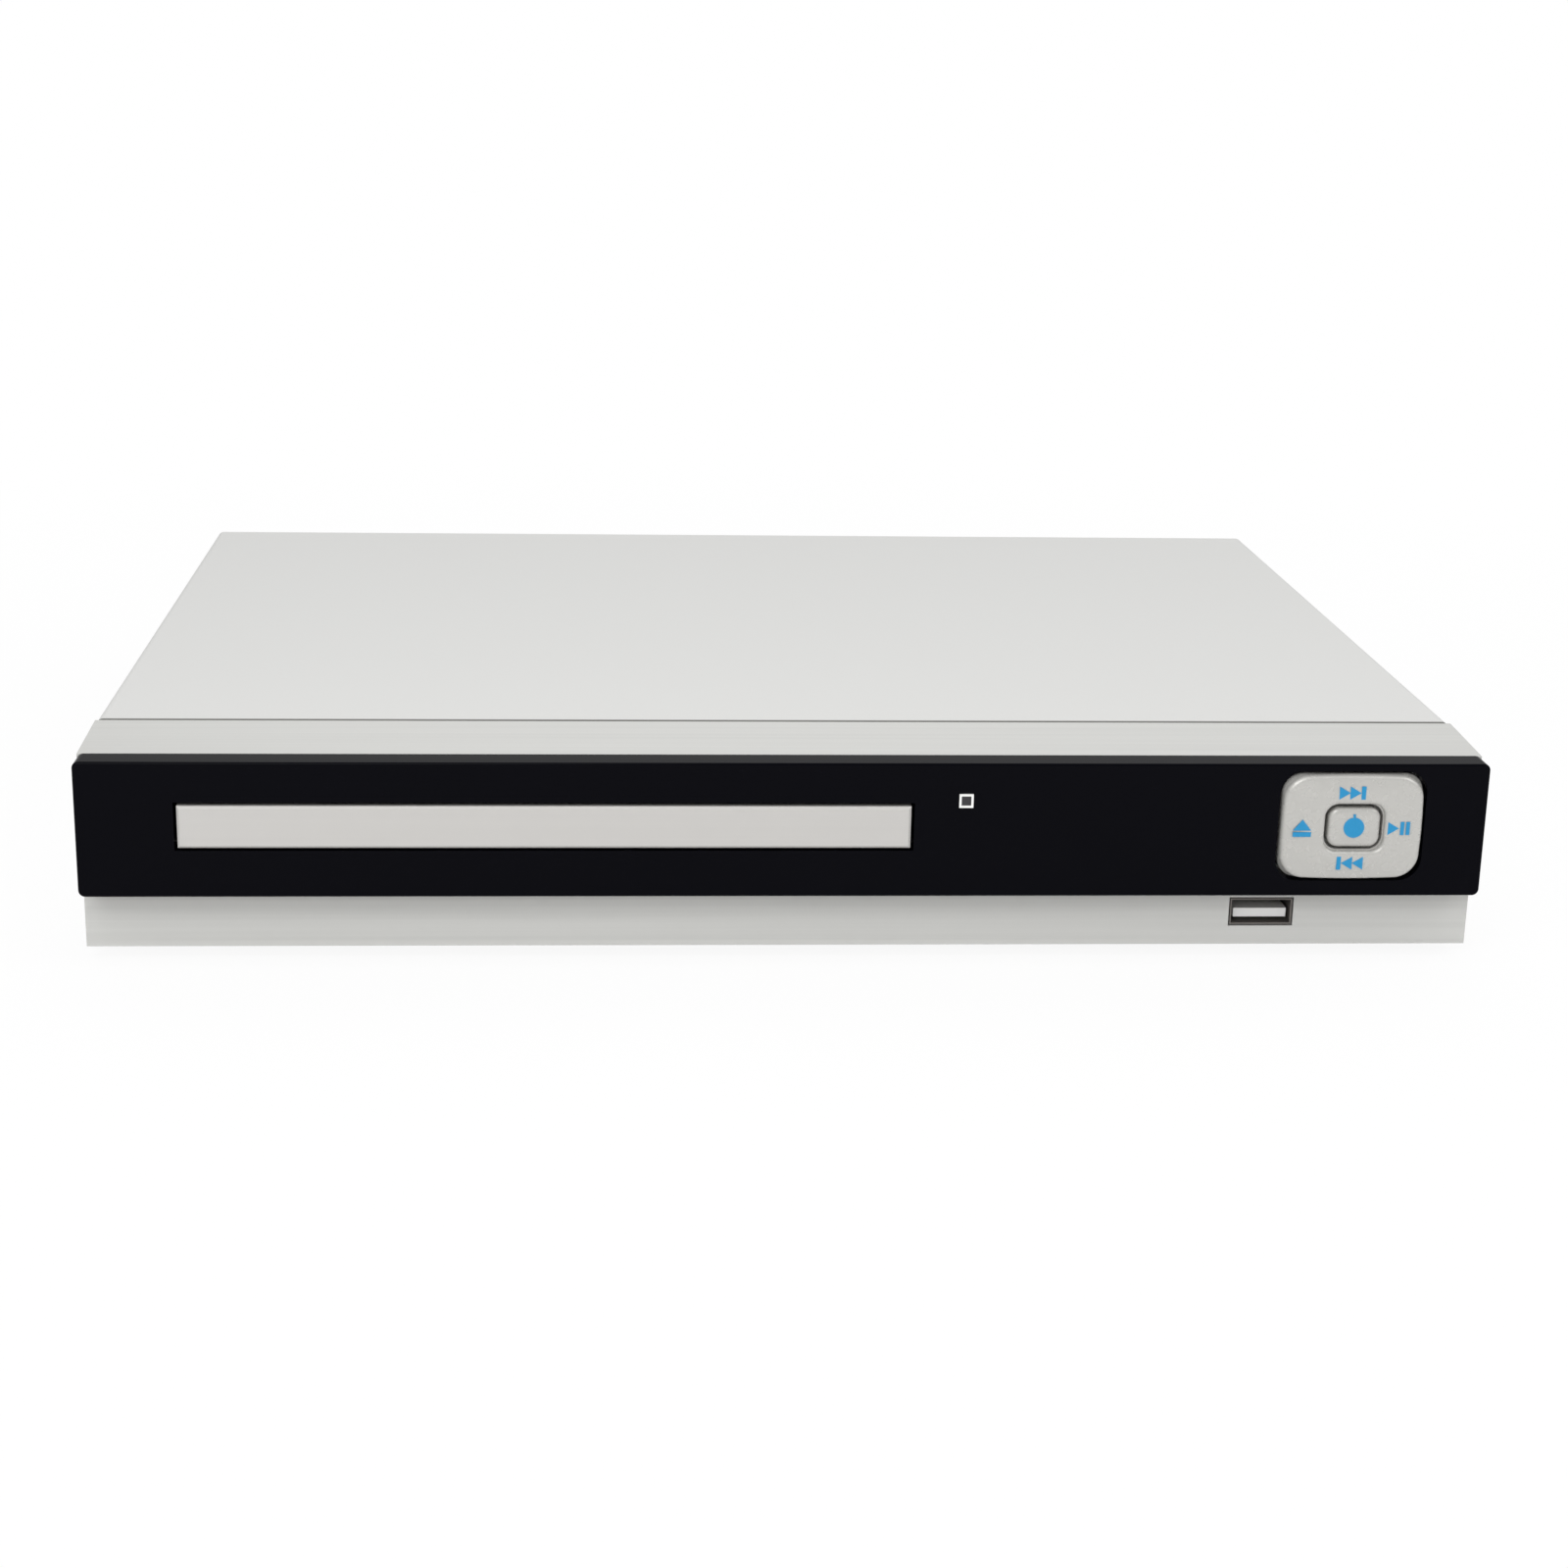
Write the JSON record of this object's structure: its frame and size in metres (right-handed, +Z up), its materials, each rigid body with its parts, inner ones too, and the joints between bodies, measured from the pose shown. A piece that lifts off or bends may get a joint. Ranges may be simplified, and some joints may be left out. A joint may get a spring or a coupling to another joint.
{
  "type": "dvd player with tray",
  "caption": "Slim disc player with a motor-driven loading tray, a black front band, a rocking direction pad with a power button, a front USB socket and rear audio-video sockets.",
  "frame": {"origin": "centre of the base, on the plane of the feet", "axes": "+X to the player's right as seen from the front, +Y from the front to the rear, +Z up"},
  "size_m": [0.288, 0.2348, 0.0452],
  "materials": {
    "cover_paint": "smooth satin light grey",
    "silver_plastic": "horizontally brushed silver",
    "black_gloss": "glossy black",
    "door_silver": "satin silver",
    "white_plastic": "white",
    "dark_window": "dark infrared window",
    "key_metal": "satin metallised plastic",
    "zinc_steel": "zinc plated sheet",
    "black_plastic": "black moulded plastic",
    "grey_plastic": "grey moulded plastic",
    "white_gear": "white acetal",
    "rubber": "black rubber",
    "steel": "turned steel",
    "nickel": "nickel plated",
    "board_green": "green solder mask",
    "board_tan": "paper phenolic board",
    "chip_black": "moulded chip",
    "aluminium": "extruded",
    "can_sleeve": "dark sleeve",
    "connector_cream": "cream nylon",
    "copper_tape": "yellow insulating tape",
    "ribbon_white": "flat ribbon",
    "wire_red": "wire insulation",
    "lens_glass": "coated lens",
    "screw_zinc": "zinc plated"
  },
  "bodies": {
    "case": {"top_cover": "cover_paint", "chassis_pan": "zinc_steel", "rear_panel": "zinc_steel", "front_panel": "silver_plastic", "fascia_band": "black_gloss", "window_rim": "white_plastic", "sensor_window": "dark_window", "rubber_feet": "rubber", "cover_screws": "screw_zinc", "key_board": "board_tan", "ir_receiver": "chip_black", "usb_board": "board_tan", "usb_socket": "nickel", "usb_tongue": "white_plastic", "main_board": "board_green", "heat_sinks": "aluminium", "board_chips": "chip_black", "capacitors": "can_sleeve", "board_connectors": "connector_cream", "front_ribbon": "ribbon_white", "hdmi_socket": "nickel", "scart_socket": "black_plastic", "rca_block": "black_plastic", "rca_jacks": "nickel", "power_board": "board_tan", "mains_inlet": "black_plastic", "inlet_pins": "nickel", "transformer": "copper_tape", "line_filter": "grey_plastic", "power_harness": "wire_red", "inner_screws": "screw_zinc", "loader_frame": "grey_plastic", "clamp_bridge": "black_plastic", "loading_motor": "steel", "drive_belt": "rubber", "pickup_ribbon": "ribbon_white", "tact_switches": "chip_black"},
    "tray": {"disc_tray": "black_plastic", "tray_door": "door_silver"},
    "tray_pinion": {"tray_pinion": "white_gear"},
    "pulley_gear": {"pulley_gear": "white_gear"},
    "motor_pulley": {"motor_pulley": "steel"},
    "traverse": {"traverse_frame": "black_plastic", "rubber_dampers": "rubber", "mechanism_deck": "zinc_steel", "spindle_motor": "steel", "guide_rods": "steel", "sled_motor": "steel"},
    "cam_slide": {"cam_slide": "white_gear"},
    "turntable": {"turntable": "black_plastic", "turntable_ring": "rubber"},
    "clamper": {"clamper": "grey_plastic"},
    "pickup": {"pickup_sled": "black_plastic", "lens_actuator": "steel"},
    "lens": {"objective_lens": "lens_glass"},
    "sled_gear": {"sled_gear": "white_gear"},
    "sled_pinion": {"sled_pinion": "white_gear"},
    "pad_ring": {"keypad_carrier": "grey_plastic"},
    "pad": {"direction_pad": "key_metal"},
    "power_button": {"power_button": "key_metal"}
  },
  "joints": [
    {"name": "tray_slide", "type": "slide", "parent": "case", "child": "tray", "axis": [0, -1, 0], "range_m": [0, 0.134]},
    {"name": "tray_pinion_spin", "type": "hinge", "parent": "case", "child": "tray_pinion", "pos_m": [0.0005, -0.0958, 0.024], "axis": [0, 0, 1], "range_deg": [-960.2, 0]},
    {"name": "pulley_gear_spin", "type": "hinge", "parent": "case", "child": "pulley_gear", "pos_m": [-0.0131, -0.0958, 0.024], "axis": [0, 0, 1], "range_deg": [0, 2303.79]},
    {"name": "motor_pulley_spin", "type": "hinge", "parent": "case", "child": "motor_pulley", "pos_m": [0.0119, -0.0958, 0.024], "axis": [0, 0, 1], "range_deg": [0, 8626.55]},
    {"name": "traverse_lift", "type": "hinge", "parent": "case", "child": "traverse", "pos_m": [-0.0495, 0.0492, 0.0205], "axis": [1, 0, 0], "range_deg": [0, 4.6]},
    {"name": "cam_slide_move", "type": "slide", "parent": "case", "child": "cam_slide", "axis": [1, 0, 0], "range_m": [0, 0.0201]},
    {"name": "spindle_spin", "type": "hinge", "parent": "traverse", "child": "turntable", "pos_m": [-0.0495, -0.0438, 0.0344], "axis": [0, 0, 1], "continuous": true},
    {"name": "clamper_spin", "type": "hinge", "parent": "case", "child": "clamper", "pos_m": [-0.0495, -0.0438, 0.0349], "axis": [0, 0, 1], "continuous": true},
    {"name": "pickup_slide", "type": "slide", "parent": "traverse", "child": "pickup", "axis": [0, 1, 0], "range_m": [0, 0.034], "deforming": ["pickup_ribbon"]},
    {"name": "sled_gear_spin", "type": "hinge", "parent": "traverse", "child": "sled_gear", "pos_m": [-0.0155, -0.0038, 0.0206], "axis": [0, 0, 1], "range_deg": [-649.85, 0]},
    {"name": "sled_pinion_spin", "type": "hinge", "parent": "traverse", "child": "sled_pinion", "pos_m": [-0.0155, 0.0064, 0.0206], "axis": [0, 0, 1], "range_deg": [0, 1558.94]},
    {"name": "lens_focus", "type": "slide", "parent": "pickup", "child": "lens", "axis": [0, 0, 1], "range_m": [-0.0005, 0.0005], "stiffness_N_per_m": 60},
    {"name": "pad_tilt_up_down", "type": "hinge", "parent": "case", "child": "pad_ring", "pos_m": [0.1158, -0.1056, 0.031], "axis": [1, 0, 0], "range_deg": [-2, 2], "stiffness_Nm_per_rad": 2},
    {"name": "pad_tilt_left_right", "type": "hinge", "parent": "pad_ring", "child": "pad", "pos_m": [0.1158, -0.1056, 0.031], "axis": [0, 0, 1], "range_deg": [-2, 2], "stiffness_Nm_per_rad": 2},
    {"name": "power_press", "type": "slide", "parent": "case", "child": "power_button", "axis": [0, 1, 0], "range_m": [0, 0.0004], "stiffness_N_per_m": 900}
  ],
  "couplings": [
    {"joint": "tray_pinion_spin", "follows": "tray_slide", "rad_per_m": -125},
    {"joint": "pulley_gear_spin", "follows": "tray_slide", "rad_per_m": 300},
    {"joint": "motor_pulley_spin", "follows": "tray_slide", "rad_per_m": 1123.5},
    {"joint": "cam_slide_move", "follows": "traverse_lift", "m_per_rad": 0.24911},
    {"joint": "clamper_spin", "follows": "spindle_spin", "ratio": 1},
    {"joint": "sled_gear_spin", "follows": "pickup_slide", "rad_per_m": -333.33},
    {"joint": "sled_pinion_spin", "follows": "pickup_slide", "rad_per_m": 800}
  ]
}
